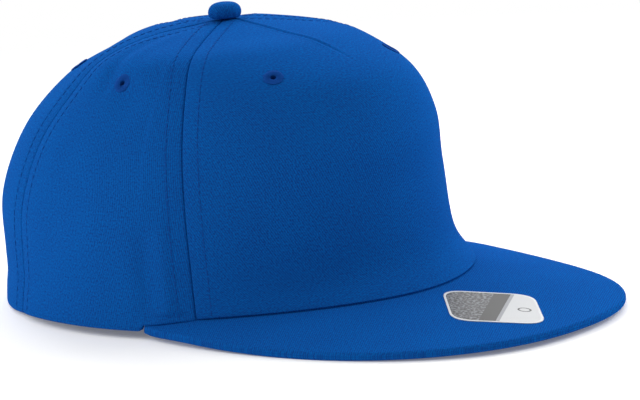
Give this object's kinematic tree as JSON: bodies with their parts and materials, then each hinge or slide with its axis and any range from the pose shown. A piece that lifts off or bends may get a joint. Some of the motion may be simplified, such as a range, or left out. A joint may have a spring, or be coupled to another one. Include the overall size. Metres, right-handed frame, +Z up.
{
  "type": "snapback cap",
  "caption": "High-crowned cloth cap with a broad flat peak, a covered top button, stitched eyelets and an adjustable snap strap across an arch at the back.",
  "frame": {"origin": "on the surface that the cap lies on, under the middle of the box round the whole cap", "axes": "+Z up, the peak points along -Y, the wearer's right is -X"},
  "size_m": [0.1756, 0.2696, 0.1143],
  "materials": {
    "cloth": "royal blue cotton twill",
    "thread": "royal blue satin stitch",
    "band_cloth": "royal blue woven cotton band",
    "strap": "moulded blue plastic, slightly satin",
    "sticker": "printed film, plain pattern without text"
  },
  "bodies": {
    "root": {"front_panel": "cloth", "side_panel_right": "cloth", "side_panel_left": "cloth", "back_panel_right": "cloth", "back_panel_left": "cloth", "peak": "cloth", "button": "cloth", "eyelet_front_right": "thread", "eyelet_front_left": "thread", "eyelet_side_right": "thread", "eyelet_side_left": "thread", "eyelet_back_right": "thread", "eyelet_back_left": "thread", "sweatband": "band_cloth", "strap_with_holes": "strap", "strap_with_studs": "strap", "peak_sticker": "sticker"}
  },
  "joints": []
}
